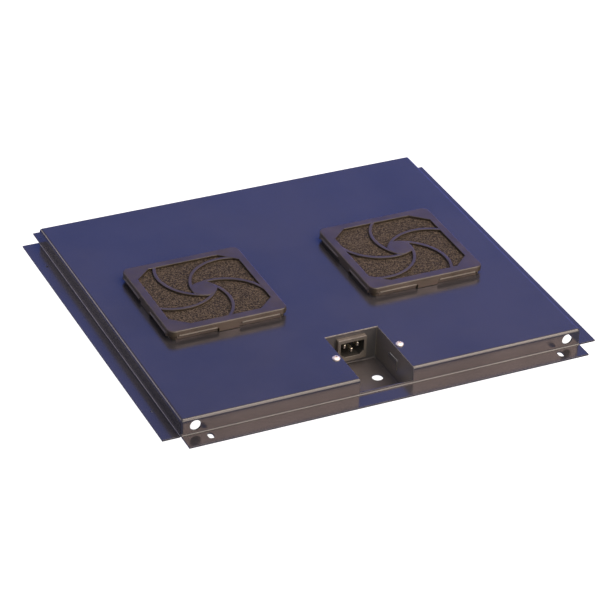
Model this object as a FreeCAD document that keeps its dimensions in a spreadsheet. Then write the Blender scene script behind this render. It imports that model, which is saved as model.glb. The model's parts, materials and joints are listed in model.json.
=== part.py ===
import FreeCAD, Part
import Sketcher
import os
from math import sin, cos, tan, atan2, pi, radians, sqrt, acos, degrees

# Rack fan tray: a folded sheet-steel tray with two 120 mm fans hung under its
# panel, snap-on filter guards on top of it and a recessed mains inlet.
#
# Row frame, millimetres: origin at the bottom centre of the whole object,
# +X to the right seen from the front, +Y to the back, +Z up. The front wall
# with the recess faces -Y.

V = FreeCAD.Vector
ROT = FreeCAD.Rotation
PLC = FreeCAD.Placement

doc = FreeCAD.newDocument("rack_fan_tray")
sheet = doc.addObject("Spreadsheet::Sheet", "dims")


class Q(object):
    """A driving size: its number and the same thing as text for the sheet."""

    def __init__(self, value, text):
        self.value = float(value)
        self.text = text

    def __add__(self, o):
        o = q(o)
        return Q(self.value + o.value, "(%s + %s)" % (self.text, o.text))

    def __radd__(self, o):
        return q(o) + self

    def __sub__(self, o):
        o = q(o)
        return Q(self.value - o.value, "(%s - %s)" % (self.text, o.text))

    def __rsub__(self, o):
        return q(o) - self

    def __mul__(self, o):
        o = q(o)
        return Q(self.value * o.value, "(%s * %s)" % (self.text, o.text))

    def __rmul__(self, o):
        return q(o) * self

    def __truediv__(self, o):
        o = q(o)
        return Q(self.value / o.value, "(%s / %s)" % (self.text, o.text))

    def __neg__(self):
        return Q(-self.value, "(0 - %s)" % self.text)


def q(x):
    return x if isinstance(x, Q) else Q(x, "(%.6f)" % float(x))


row_number = [1]


def dim(alias, value, note):
    n = row_number[0]
    row_number[0] += 1
    sheet.set("A%d" % n, alias)
    sheet.set("B%d" % n, "%g" % value)
    sheet.set("C%d" % n, note)
    sheet.setAlias("B%d" % n, alias)
    return Q(value, "dims.%s" % alias)


# ---------------------------------------------------------------- the sheet
tray_w = dim("tray_width", 420.0, "raised panel, left to right, outside")
tray_d = dim("tray_depth", 368.0, "raised panel, front to back, outside")
sheet_t = dim("sheet_thick", 1.5, "sheet steel")
wall_h = dim("wall_height", 17.0, "panel top above flange top")
side_f = dim("side_flange", 18.0, "left and right flange width")
end_f = dim("end_flange", 19.0, "front and back flange width")
panel_z = dim("panel_top", 45.5, "panel top above what the tray stands on")
bend_o = dim("bend_outer", 3.0, "outer bend radius")
bend_i = dim("bend_inner", 1.5, "inner bend radius")
slit_w = dim("corner_slit", 0.6, "open slit where two folded walls meet")
corner_o = dim("corner_outer", 2.4, "tray corners, outside radius")
corner_g = dim("corner_gap", 0.5, "flange ends short of the neighbouring wall plane")
edge_r = dim("edge_round", 0.5, "coated cut edges of the recess opening")

fan_x = dim("fan_offset", 107.0, "fan centre either side of the middle")
fan_y = dim("fan_setback", 2.0, "fan centres behind the middle")
fan_sq = dim("fan_square", 119.5, "fan frame, square")
fan_h = dim("fan_deep", 38.0, "fan frame depth")
fan_pitch = dim("fan_hole_pitch", 105.0, "fan mounting holes, square pitch")
fan_hole = dim("fan_hole_radius", 2.25, "clearance hole for a 4 mm screw")
duct_r = dim("duct_radius", 57.4, "inside of the fan duct")
duct_t = dim("duct_thick", 2.0, "fan duct wall")
flan_t = dim("fan_flange_thick", 4.5, "fan corner flanges")
cut_r = dim("panel_cut_radius", 56.0, "air hole in the panel")

rec_w = dim("recess_width", 56.0, "inlet recess, opening in the panel")
rec_d = dim("recess_length", 77.5, "inlet recess, from the front wall back")
rec_z = dim("recess_floor", 9.5, "recess floor top face")
lip_z = dim("recess_lip", 30.6, "top of the bend left under the cut-out")
step_g = dim("recess_step", 0.4, "bracket walls stand back behind the panel edge")
ear_w = dim("bracket_ear", 13.0, "bracket ear width")
brk_sx = dim("bracket_screw_offset", 33.6, "bracket screws either side")
brk_sy = dim("bracket_screw_setback", 41.0, "bracket screws behind the front wall")
floor_hx = dim("floor_hole_x", 14.5, "hole in the recess floor")
floor_hy = dim("floor_hole_setback", 45.5, "hole in the recess floor, from the front")
floor_hr = dim("floor_hole_radius", 5.5, "hole in the recess floor")

wall_hx = dim("wall_hole_offset", 195.5, "front wall holes either side")
wall_hz = dim("wall_hole_height", 8.7, "front wall holes above flange top")
wall_hr = dim("wall_hole_radius", 5.5, "front wall holes")
slot_x = dim("slot_offset", 184.0, "front flange slots either side")
slot_y = dim("slot_forward", 8.6, "front flange slots in front of the wall")
slot_w = dim("slot_width", 5.5, "front flange slot width")
slot_l = dim("slot_long", 9.0, "front flange slot length")
side_hy = dim("side_hole_offset", 137.0, "side flange holes either side of middle")
side_hr = dim("side_hole_radius", 1.2, "side flange holes")

grd_w = dim("guard_square", 124.0, "filter guard, square")
grd_r = dim("guard_corner", 7.0, "filter guard corner radius")
grd_h = dim("guard_height", 10.5, "filter guard above the panel")
cov_t = dim("cover_thick", 2.0, "filter cover top thickness")
cov_wall = dim("cover_wall", 1.8, "filter cover skirt thickness")
skirt_z = dim("skirt_bottom", 4.6, "filter cover skirt above the panel")
open_x = dim("grille_width", 108.0, "opening in the cover, left to right")
open_y = dim("grille_depth", 106.0, "opening in the cover, front to back")
web_x = dim("web_width", 17.0, "corner web, left to right")
web_y = dim("web_depth", 15.0, "corner web, front to back")
hub_r = dim("hub_radius", 12.4, "bare hub of the cover")
rib_r = dim("rib_radius", 46.0, "curved rib, middle line")
rib_c = dim("rib_centre", 35.0, "curved rib, centre from the hub")
rib_w = dim("rib_width", 3.0, "curved rib width")
base_g = dim("base_clearance", 0.4, "gap between base and cover skirt")
base_h = dim("base_height", 5.0, "filter base rim above the panel")
foam_t = dim("foam_thick", 3.4, "filter foam")

inl_w = dim("inlet_width", 31.0, "inlet bezel width")
inl_h = dim("inlet_height", 24.0, "inlet bezel height")
inl_p = dim("inlet_proud", 4.9, "inlet bezel thickness")
inl_z = dim("inlet_axis", 28.5, "inlet middle height")
cav_w = dim("cavity_width", 25.0, "inlet cavity width")
cav_h = dim("cavity_height", 16.6, "inlet cavity height")
cav_d = dim("cavity_depth", 17.0, "inlet cavity depth")
cav_c = dim("cavity_chamfer", 4.6, "cut corners of the cavity")
pin_x = dim("pin_offset", 7.0, "line and neutral blades either side")
pin_up = dim("pin_rise", 2.5, "line and neutral blades above the middle")
pin_dn = dim("pin_drop", 2.0, "earth blade below the middle")
pin_w = dim("pin_wide", 2.0, "blade thickness")
pin_h = dim("pin_tall", 4.0, "blade height")

shaft_r = dim("shaft_radius", 2.46, "fan shaft")
brg_i = dim("bearing_bore", 2.5, "bearing bore radius")
brg_o = dim("bearing_outer", 5.5, "bearing outer radius")
brg_w = dim("bearing_wide", 5.0, "bearing width")
tube_r = dim("tube_radius", 7.5, "bearing tube outside radius")
imp_r = dim("impeller_hub", 31.0, "impeller hub radius")
tip_r = dim("impeller_tip", 55.6, "blade tip radius")
rot_o = dim("rotor_outer", 26.95, "rotor ring outer radius")
rot_i = dim("rotor_inner", 22.5, "rotor ring inner radius")
sta_o = dim("stator_outer", 22.0, "stator core radius")
wire_r = dim("guard_wire", 1.0, "finger guard wire radius")
lead_r = dim("lead_radius", 0.9, "insulated lead radius")
scr_r = dim("screw_radius", 1.95, "4 mm screw")

flange_z = panel_z - wall_h          # flange top face
flange_b = flange_z - sheet_t        # flange bottom face
panel_b = panel_z - sheet_t          # panel underside
front_y = -(tray_d / 2)              # outside of the front wall
fan_z = panel_b - fan_h              # fan bottom face
doc.recompute()


# ------------------------------------------------------------- small helpers
def bind(obj, prop, val):
    val = q(val)
    if "dims." in val.text:
        obj.setExpression(prop, val.text)
    else:
        node = obj
        parts = prop.split(".")
        if len(parts) == 1:
            setattr(node, prop, val.value)
        else:
            obj.setExpression(prop, val.text)


def place(obj, x=0, y=0, z=0, axis=None, angle=0.0):
    x, y, z = q(x), q(y), q(z)
    rot = ROT(axis, angle) if axis is not None else ROT()
    obj.Placement = PLC(V(x.value, y.value, z.value), rot)
    for name, val in (("x", x), ("y", y), ("z", z)):
        if "dims." in val.text:
            obj.setExpression("Placement.Base." + name, val.text)


def new_body(label):
    body = doc.addObject("PartDesign::Body", label)
    body.Label = label
    return body


def origin_item(body, role):
    return [f for f in body.Origin.OriginFeatures if f.Role == role][0]


def sketch(body, name, plane="XY_Plane", off=0):
    sk = body.newObject("Sketcher::SketchObject", name)
    sk.AttachmentSupport = [(origin_item(body, plane), "")]
    sk.MapMode = "FlatFace"
    off = q(off)
    sk.AttachmentOffset = PLC(V(0, 0, off.value), ROT())
    if "dims." in off.text:
        sk.setExpression("AttachmentOffset.Base.z", off.text)
    return sk


def con_value(sk, con, val):
    n = sk.addConstraint(con)
    if "dims." in val.text:
        sk.setExpression("Constraints[%d]" % n, val.text)


def fix_point(sk, geo, pos, x, y):
    x, y = q(x), q(y)
    con_value(sk, Sketcher.Constraint("DistanceX", -1, 1, geo, pos, x.value), x)
    con_value(sk, Sketcher.Constraint("DistanceY", -1, 1, geo, pos, y.value), y)


def polygon(sk, pts):
    pts = [(q(a), q(b)) for a, b in pts]
    first = None
    ids = []
    for i in range(len(pts)):
        a, b = pts[i], pts[(i + 1) % len(pts)]
        g = sk.addGeometry(Part.LineSegment(V(a[0].value, a[1].value, 0),
                                            V(b[0].value, b[1].value, 0)), False)
        ids.append(g)
    for i in range(len(ids)):
        sk.addConstraint(Sketcher.Constraint("Coincident", ids[i], 2,
                                             ids[(i + 1) % len(ids)], 1))
    for i, g in enumerate(ids):
        fix_point(sk, g, 1, pts[i][0], pts[i][1])
    return ids


def rounded(sk, pts):
    """Closed outline of level and upright lines; each corner has a radius."""
    pts = [(q(a), q(b), q(r)) for a, b, r in pts]
    n = len(pts)

    def unit(i, j):
        dx = pts[j][0].value - pts[i][0].value
        dy = pts[j][1].value - pts[i][1].value
        d = sqrt(dx * dx + dy * dy)
        return round(dx / d), round(dy / d)

    ends = []                            # for each corner: entry and exit point
    for i in range(n):
        p, nx = (i - 1) % n, (i + 1) % n
        ux, uy = unit(p, i)
        vx, vy = unit(i, nx)
        x, y, r = pts[i]
        ends.append(((x - r * ux, y - r * uy), (x + r * vx, y + r * vy), (ux, uy), (vx, vy)))
    lines, arcs = [], {}
    for i in range(n):
        a, b = ends[i][1], ends[(i + 1) % n][0]
        lines.append(sk.addGeometry(Part.LineSegment(V(a[0].value, a[1].value, 0),
                                                     V(b[0].value, b[1].value, 0)), False))
    for i in range(n):
        x, y, r = pts[i]
        if r.value <= 0:
            continue
        (ax, ay), (bx, by), u, w = ends[i]
        cx, cy = ax + r * w[0], ay + r * w[1]
        ccw = u[0] * w[1] - u[1] * w[0] > 0
        a0 = atan2(ay.value - cy.value, ax.value - cx.value)
        a1 = atan2(by.value - cy.value, bx.value - cx.value)
        if not ccw:
            a0, a1 = a1, a0
        if a1 < a0:
            a1 += 2 * pi
        g = sk.addGeometry(Part.ArcOfCircle(Part.Circle(V(cx.value, cy.value, 0), V(0, 0, 1), r.value),
                                            a0, a1), False)
        arcs[i] = (g, ccw, cx, cy)
    for i in range(n):
        prev = lines[(i - 1) % n]
        if i in arcs:
            g, ccw, cx, cy = arcs[i]
            sk.addConstraint(Sketcher.Constraint("Coincident", prev, 2, g, 1 if ccw else 2))
            sk.addConstraint(Sketcher.Constraint("Coincident", g, 2 if ccw else 1, lines[i], 1))
            fix_point(sk, prev, 2, *ends[i][0])
            fix_point(sk, lines[i], 1, *ends[i][1])
            if abs(ends[i][0][0].value - cx.value) < 1e-6:
                con_value(sk, Sketcher.Constraint("DistanceY", -1, 1, g, 3, cy.value), cy)
            else:
                con_value(sk, Sketcher.Constraint("DistanceX", -1, 1, g, 3, cx.value), cx)
        else:
            sk.addConstraint(Sketcher.Constraint("Coincident", prev, 2, lines[i], 1))
            fix_point(sk, lines[i], 1, *ends[i][1])
    return lines


def rect(sk, x0, y0, x1, y1):
    return polygon(sk, [(x0, y0), (x1, y0), (x1, y1), (x0, y1)])


def circle(sk, x, y, r):
    x, y, r = q(x), q(y), q(r)
    g = sk.addGeometry(Part.Circle(V(x.value, y.value, 0), V(0, 0, 1), r.value), False)
    fix_point(sk, g, 3, x, y)
    con_value(sk, Sketcher.Constraint("Radius", g, r.value), r)
    return g


def octagon(sk, w, d, cx, cy):
    """A rectangle w by d with its corners cut by cx and cy."""
    a, b = q(w) / 2, q(d) / 2
    cx, cy = q(cx), q(cy)
    return polygon(sk, [(cx - a, -b), (a - cx, -b), (a, cy - b), (a, b - cy),
                        (a - cx, b), (cx - a, b), (-a, b - cy), (-a, cy - b)])


def volume(obj):
    return obj.Shape.Volume


def pad(body, name, sk, length, back=False):
    f = body.newObject("PartDesign::Pad", name)
    f.Profile = sk
    bind(f, "Length", length)
    f.Reversed = back
    doc.recompute()
    return f


def report_body(body, name):
    for o in body.Group:
        if hasattr(o, "Shape") and o.TypeId.startswith("PartDesign"):
            print("  ", o.Name, o.State, round(o.Shape.Volume, 1), o.Shape.isValid(), len(o.Shape.Solids))
    raise RuntimeError("nothing was cut by " + name)


def cut(body, name, sk, length, back=False):
    before = volume(body)
    f = body.newObject("PartDesign::Pocket", name)
    f.Profile = sk
    f.Type = 0
    bind(f, "Length", length)
    f.Reversed = back
    doc.recompute()
    if not volume(body) < before - 1e-3:
        report_body(body, name)
    return f


def turn(body, name, sk, remove=False):
    before = volume(body) if remove else 0.0
    f = body.newObject("PartDesign::Groove" if remove else "PartDesign::Revolution", name)
    f.Profile = sk
    f.ReferenceAxis = (sk, ["V_Axis"])
    f.Angle = 360.0
    doc.recompute()
    if remove and not volume(body) < before - 1e-3:
        report_body(body, name)
    return f


def polar(body, name, feats, count):
    f = body.newObject("PartDesign::PolarPattern", name)
    f.Originals = feats
    f.Axis = (origin_item(body, "Z_Axis"), [""])
    f.Angle = 360.0
    f.Occurrences = count
    body.Tip = f
    doc.recompute()
    return f


def edge_names(shape, test):
    out = []
    for i, e in enumerate(shape.Edges):
        bb = e.BoundBox
        if test(e, bb):
            out.append("Edge%d" % (i + 1))
    return out


def fillet(body, name, test, radius, kind="Fillet"):
    base = body.Tip
    names = edge_names(base.Shape, test)
    if not names:
        raise RuntimeError("no edge for " + name)
    f = body.newObject("PartDesign::" + kind, name)
    f.Base = (base, names)
    bind(f, "Radius" if kind == "Fillet" else "Size", radius)
    doc.recompute()
    return f


def near(a, b, tol=0.02):
    return abs(a - float(b.value if isinstance(b, Q) else b)) < tol


pieces = []


def done(obj):
    pieces.append(obj)
    return obj


# ================================================================ tray panel
# One sheet: a flat panel, four walls folded down, four flanges folded out at
# the bottom. Each flange is as long as its wall, so the corners are notched.
body = new_body("tray_panel")
W2, D2 = tray_w / 2, tray_d / 2
foot_z = flange_z + bend_i + 0.4         # where a wall turns into its flange
sk = sketch(body, "tray_outline", "XY_Plane", foot_z)
rect(sk, -W2, -D2, W2, D2)
pad(body, "tray_block", sk, wall_h - bend_i - 0.4)
fillet(body, "tray_corners", lambda e, bb: bb.ZLength > 5, corner_o)
fillet(body, "tray_top_bend",
       lambda e, bb: near(bb.ZMin, panel_z) and near(bb.ZMax, panel_z), bend_o)
sk = sketch(body, "tray_hollow", "XY_Plane", panel_b)
rect(sk, sheet_t - W2, sheet_t - D2, W2 - sheet_t, D2 - sheet_t)
cut(body, "tray_hollow_cut", sk, wall_h + 5)
fillet(body, "tray_inside_corners", lambda e, bb: bb.ZLength > 5 and bb.XLength < 0.1
       and bb.YLength < 0.1 and near(abs(bb.XMin), W2 - sheet_t) and near(abs(bb.YMin), D2 - sheet_t),
       corner_o - sheet_t)
fillet(body, "tray_inside_bend",
       lambda e, bb: near(bb.ZMin, panel_b) and near(bb.ZMax, panel_b), bend_i)


def foot(tag, plane, sgn, half, width, run):
    """Flange with its bend, as one section run along the wall."""
    sk = sketch(body, "foot_section_" + tag, plane, -run)
    o, i = half * sgn, (half - sheet_t) * sgn
    rounded(sk, [(i, foot_z, 0), (o, foot_z, 0), (o, flange_z, bend_i),
                 (o + width * sgn, flange_z, 0), (o + width * sgn, flange_b, 0),
                 (i, flange_b, bend_o)])
    return pad(body, "foot_" + tag, sk, run * 2)


foot("left", "XZ_Plane", -1, W2, side_f, D2 - corner_g)
foot("right", "XZ_Plane", 1, W2, side_f, D2 - corner_g)
foot("front", "YZ_Plane", -1, D2, end_f, W2 - corner_g)
foot("back", "YZ_Plane", 1, D2, end_f, W2 - corner_g)

# narrow open slits where the side walls meet the front and back walls
sk = sketch(body, "corner_slits", "YZ_Plane", -(W2 + 1))
for sgn in (-1, 1):
    if sgn < 0:
        a, b = sheet_t - D2, sheet_t - D2 + slit_w
    else:
        a, b = D2 - sheet_t - slit_w, D2 - sheet_t
    rect(sk, a, flange_z + 1.6, b, panel_z - 2.8)
cut(body, "corner_slit_cut", sk, tray_w + 2, back=True)

# air holes with their four screw holes
sk = sketch(body, "air_holes", "XY_Plane", panel_z + 1)
for sx in (-1, 1):
    cx = fan_x * sx
    circle(sk, cx, fan_y, cut_r)
    for ax in (-1, 1):
        for ay in (-1, 1):
            circle(sk, cx + fan_pitch / 2 * ax, fan_y + fan_pitch / 2 * ay, fan_hole)
cut(body, "air_hole_cut", sk, 4)

# recess for the inlet: opening in the panel and in the front wall
sk = sketch(body, "recess_plan", "XY_Plane", panel_z + 1)
rect(sk, -(rec_w / 2), front_y - 1, rec_w / 2, front_y + rec_d)
cut(body, "recess_cut", sk, panel_z + 1 - lip_z)
fillet(body, "recess_edges",
       lambda e, bb: near(bb.ZMin, panel_z) and near(bb.ZMax, panel_z)
       and ((near(abs(bb.XMin), rec_w / 2) and bb.XLength < 0.1 and bb.YLength > 50)
            or (near(bb.YMin, front_y + rec_d) and bb.YLength < 0.1 and bb.XLength > 50)), edge_r)

# bracket screw holes
sk = sketch(body, "bracket_holes", "XY_Plane", panel_z + 1)
for sx in (-1, 1):
    circle(sk, brk_sx * sx, front_y + brk_sy, fan_hole)
cut(body, "bracket_hole_cut", sk, 4)

# round holes in the front wall
sk = sketch(body, "front_holes", "XZ_Plane", D2 + 1)
for sx in (-1, 1):
    circle(sk, wall_hx * sx, flange_z + wall_hz, wall_hr)
cut(body, "front_hole_cut", sk, 4)

# slots in the front flange, long way front to back
sk = sketch(body, "flange_slots", "XY_Plane", flange_z + 1)
for sx in (-1, 1):
    cx = slot_x * sx
    cy = front_y - slot_y
    r = slot_w / 2
    hl = (slot_l - slot_w) / 2
    g1 = sk.addGeometry(Part.LineSegment(V((cx - r).value, (cy - hl).value, 0),
                                         V((cx - r).value, (cy + hl).value, 0)), False)
    g2 = sk.addGeometry(Part.LineSegment(V((cx + r).value, (cy + hl).value, 0),
                                         V((cx + r).value, (cy - hl).value, 0)), False)
    top = Part.ArcOfCircle(Part.Circle(V(cx.value, (cy + hl).value, 0), V(0, 0, 1), r.value), 0, pi)
    bot = Part.ArcOfCircle(Part.Circle(V(cx.value, (cy - hl).value, 0), V(0, 0, 1), r.value), pi, 2 * pi)
    g3 = sk.addGeometry(top, False)
    g4 = sk.addGeometry(bot, False)
    sk.addConstraint(Sketcher.Constraint("Coincident", g1, 2, g3, 2))
    sk.addConstraint(Sketcher.Constraint("Coincident", g3, 1, g2, 1))
    sk.addConstraint(Sketcher.Constraint("Coincident", g2, 2, g4, 2))
    sk.addConstraint(Sketcher.Constraint("Coincident", g4, 1, g1, 1))
    fix_point(sk, g3, 3, cx, cy + hl)
    fix_point(sk, g4, 3, cx, cy - hl)
    fix_point(sk, g1, 1, cx - r, cy - hl)
    fix_point(sk, g2, 1, cx + r, cy + hl)
cut(body, "flange_slot_cut", sk, 4)

# small holes in the side flanges
sk = sketch(body, "side_holes", "XY_Plane", flange_z + 1)
for sx in (-1, 1):
    for sy in (-1, 1):
        circle(sk, (W2 + side_f / 2) * sx, side_hy * sy, side_hr)
cut(body, "side_hole_cut", sk, 4)
done(body)

# ============================================================ inlet bracket
# A channel under the recess with out-turned ears and a back wall.
body = new_body("inlet_bracket")
inn = rec_w / 2 + step_g                 # inside of the side walls
back_y = front_y + rec_d + step_g        # front face of the back wall
sk = sketch(body, "channel_section", "XZ_Plane", -(back_y + sheet_t))
zt, zb, zf = panel_b, rec_z - sheet_t, rec_z
polygon(sk, [(-(inn + ear_w), zt), (-(inn + ear_w), zt - sheet_t),
             (-(inn + sheet_t), zt - sheet_t), (-(inn + sheet_t), zb),
             (inn + sheet_t, zb), (inn + sheet_t, zt - sheet_t),
             (inn + ear_w, zt - sheet_t), (inn + ear_w, zt),
             (inn, zt), (inn, zf), (-inn, zf), (-inn, zt)])
pad(body, "channel", sk, rec_d + sheet_t + step_g - sheet_t - 0.8)
sk = sketch(body, "end_wall_outline", "XZ_Plane", -(back_y + sheet_t))
rect(sk, -(inn + 0.5), zf - 0.5, inn + 0.5, zt)
pad(body, "end_wall", sk, sheet_t)
# rounded folds along the bottom edges
fillet(body, "floor_bends", lambda e, bb: near(bb.ZMin, zb) and near(bb.ZMax, zb)
       and bb.YLength > 60 and bb.XLength < 0.1, bend_o)
fillet(body, "floor_end_bend", lambda e, bb: near(bb.ZMin, zb) and near(bb.ZMax, zb)
       and bb.XLength > 40 and near(bb.YMax, back_y + sheet_t), bend_o)
fillet(body, "floor_inner_bends", lambda e, bb: near(bb.ZMin, zf) and near(bb.ZMax, zf)
       and ((bb.YLength > 60 and bb.XLength < 0.1 and near(abs(bb.XMin), inn))
            or (bb.XLength > 40 and near(bb.YMax, back_y) and bb.YLength < 0.1)), bend_i)
# the front end is sheared off at a slant below the flange
sk = sketch(body, "front_shear", "YZ_Plane", -(inn + 10))
polygon(sk, [(front_y, zb - 2), (front_y + 11, zb - 2), (front_y + 9, zb),
             (front_y + 2, zb + 8.5), (front_y, zb + 8.5)])
cut(body, "front_shear_cut", sk, inn * 2 + 20, back=True)
# and its top corner is taken off where the panel bends down in front of it
sk = sketch(body, "front_top_shear", "YZ_Plane", -(inn + 20))
polygon(sk, [(front_y + 1, zt - 0.8), (front_y + 2.3, zt - 0.8), (front_y + 3.2, zt),
             (front_y + 3.2, zt + 1), (front_y + 1, zt + 1)])
cut(body, "front_top_cut", sk, inn * 2 + 40, back=True)
# window for the inlet
sk = sketch(body, "inlet_window", "XZ_Plane", -(back_y + sheet_t) - 1)
rect(sk, -13.7, inl_z - 10.2, 13.7, inl_z + 10.2)
cut(body, "inlet_window_cut", sk, sheet_t + 2, back=True)
# hole in the floor and the two screw holes in the ears
sk = sketch(body, "floor_hole", "XY_Plane", rec_z + 1)
circle(sk, floor_hx, front_y + floor_hy, floor_hr)
cut(body, "floor_hole_cut", sk, 4)
sk = sketch(body, "ear_holes", "XY_Plane", panel_b + 1)
for sx in (-1, 1):
    circle(sk, brk_sx * sx, front_y + brk_sy, fan_hole)
cut(body, "ear_hole_cut", sk, 4)
# lanced tongue in the right wall: a window with a tongue hinged at its foot
sk = sketch(body, "tongue_window", "YZ_Plane", inn - 1)
ty0, ty1 = front_y + 33.6, front_y + 51.0
rect(sk, ty0, flange_z - 9.5, ty1, flange_z + 3.9)
cut(body, "tongue_window_cut", sk, sheet_t + 2, back=True)
sk = sketch(body, "tongue_section", "XZ_Plane", -(ty1 - 0.5))
polygon(sk, [(inn, flange_z - 9.6), (inn + sheet_t, flange_z - 9.6),
             (inn + sheet_t - 1.3, flange_z + 3.5), (inn - 1.3, flange_z + 3.5)])
pad(body, "tongue", sk, ty1 - ty0 - 1.1)
done(body)

# ============================================================ bracket screws
def pan_screw(body, x, y, z_seat, length, head_r=4.0, head_h=2.3, tag=""):
    """Pan-head screw: a domed head on a plain shank, axis along Z."""
    sk = sketch(body, "screw_profile" + tag, "XZ_Plane", 0)
    r = scr_r
    polygon(sk, [(0, 0), (head_r, 0), (head_r, 0.5), (head_r * 0.94, head_h * 0.42), (head_r * 0.78, head_h * 0.66),
                 (head_r * 0.56, head_h * 0.86), (head_r * 0.3, head_h * 0.97), (0, head_h)])
    rv = turn(body, "screw_head" + tag, sk)
    sk = sketch(body, "shank_plan" + tag, "XY_Plane", 0)
    circle(sk, 0, 0, r)
    p = pad(body, "shank" + tag, sk, length, back=True)
    sk = sketch(body, "cross_plan" + tag, "XY_Plane", head_h)
    a, b = 0.55, 2.2
    polygon(sk, [(-b, -a), (-a, -a), (-a, -b), (a, -b), (a, -a), (b, -a),
                 (b, a), (a, a), (a, b), (-a, b), (-a, a), (-b, a)])
    c = cut(body, "cross" + tag, sk, 1.4)
    return rv, p, c


def copies(label, master, spots):
    """One node of identical pieces: each copy is a transformed clone."""
    objs = []
    for i, (x, y, z) in enumerate(spots):
        c = doc.addObject("App::Link", "%s_%d" % (label, i + 1))
        c.LinkedObject = master
        c.LinkTransform = False
        x, y, z = q(x), q(y), q(z)
        c.Placement = PLC(V(x.value, y.value, z.value), ROT())
        for name, val in (("x", x), ("y", y), ("z", z)):
            if "dims." in val.text:
                c.setExpression("Placement.Base." + name, val.text)
        objs.append(c)
    grp = doc.addObject("Part::Compound", label)
    grp.Label = label
    grp.Links = objs
    doc.recompute()
    return grp


screw_short = new_body("screw_short_master")
pan_screw(screw_short, 0, 0, 0, 12.0)
done(copies("bracket_screws", screw_short,
            [(brk_sx * -1, front_y + brk_sy, panel_z), (brk_sx, front_y + brk_sy, panel_z)]))


def nut_master(name):
    body = new_body(name)
    sk = sketch(body, "hexagon", "XY_Plane", 0)
    pts = []
    for k in range(6):
        a = radians(30 + 60 * k)
        pts.append((7.0 / sqrt(3) * cos(a), 7.0 / sqrt(3) * sin(a)))
    polygon(sk, pts)
    pad(body, "nut_block", sk, 3.2)
    sk = sketch(body, "nut_bore", "XY_Plane", 3.2)
    circle(sk, 0, 0, scr_r + 0.05)
    cut(body, "nut_bore_cut", sk, 5)
    return body


nut = nut_master("nut_master")
ear_b = panel_b - sheet_t
done(copies("bracket_nuts", nut,
            [(brk_sx * -1, front_y + brk_sy, ear_b - 3.2),
             (brk_sx, front_y + brk_sy, ear_b - 0.8 - 3.2)]))

# ============================================================= inlet housing
body = new_body("inlet_housing")
face_y = back_y - inl_p                   # front face of the bezel
rear_y = front_y + 104.0                  # back of the moulding
sk = sketch(body, "bezel_outline", "XZ_Plane", -back_y)
rect(sk, -(inl_w / 2), inl_z - inl_h / 2 - 1.0, inl_w / 2, inl_z + inl_h / 2)
pad(body, "bezel", sk, inl_p)
fillet(body, "bezel_corners", lambda e, bb: bb.YLength > 4 and bb.XLength < 0.1 and bb.ZLength < 0.1, 1.4)
fillet(body, "bezel_edge", lambda e, bb: near(bb.YMin, face_y) and near(bb.YMax, face_y), 0.7)
sk = sketch(body, "body_outline", "XZ_Plane", -back_y)
rect(sk, -13.5, inl_z - 10.0, 13.5, inl_z + 10.0)
pad(body, "rear_body", sk, rear_y - back_y, back=True)
# snap arms that grip behind the bracket wall
for tag, sx in (("left", -1), ("right", 1)):
    sk = sketch(body, "snap_plan_" + tag, "XY_Plane", inl_z - 3)
    yb = back_y + sheet_t + 0.15
    polygon(sk, [(13.4 * sx, yb), (15.0 * sx, yb), (15.0 * sx, yb + 1.0), (13.4 * sx, yb + 7)])
    pad(body, "snap_arm_" + tag, sk, 6)
sk = sketch(body, "cavity_outline", "XZ_Plane", -face_y + 1)
cw, ch = cav_w / 2, cav_h / 2
polygon(sk, [(-cw, inl_z + ch), (-cw, inl_z - ch + cav_c), (cav_c - cw, inl_z - ch),
             (cw - cav_c, inl_z - ch), (cw, inl_z - ch + cav_c), (cw, inl_z + ch)])
cut(body, "cavity", sk, cav_d + 1)
# slots that the three blades are pressed through
sk = sketch(body, "blade_slots", "XZ_Plane", -(face_y + cav_d) + 1)
for x, z in ((-pin_x, inl_z + pin_up), (pin_x, inl_z + pin_up), (q(0), inl_z - pin_dn)):
    rect(sk, x - pin_w / 2, z - pin_h / 2, x + pin_w / 2, z + pin_h / 2)
cut(body, "blade_slot_cut", sk, 40)
done(body)

# ================================================================ the blades
for label, x, z, proud in (("inlet_line_pin", -pin_x, inl_z + pin_up, 2.6),
                           ("inlet_neutral_pin", pin_x, inl_z + pin_up, 2.6),
                           ("inlet_earth_pin", q(0), inl_z - pin_dn, 1.4)):
    body = new_body(label)
    sk = sketch(body, "blade_section", "XZ_Plane", -rear_y)
    rect(sk, x - pin_w / 2, z - pin_h / 2, x + pin_w / 2, z + pin_h / 2)
    pad(body, "blade", sk, rear_y - face_y - proud)
    fillet(body, "blade_nose", lambda e, bb: near(bb.YMin, face_y + proud) and near(bb.YMax, face_y + proud), 0.6)
    sk = sketch(body, "tab_section", "XZ_Plane", -rear_y)
    rect(sk, x - 0.4, z - 3.15, x + 0.4, z + 3.15)
    pad(body, "tab", sk, 8.0, back=True)
    done(body)

# ============================================================== filter guards
grd_z = panel_z                            # guard stands on the panel


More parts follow.
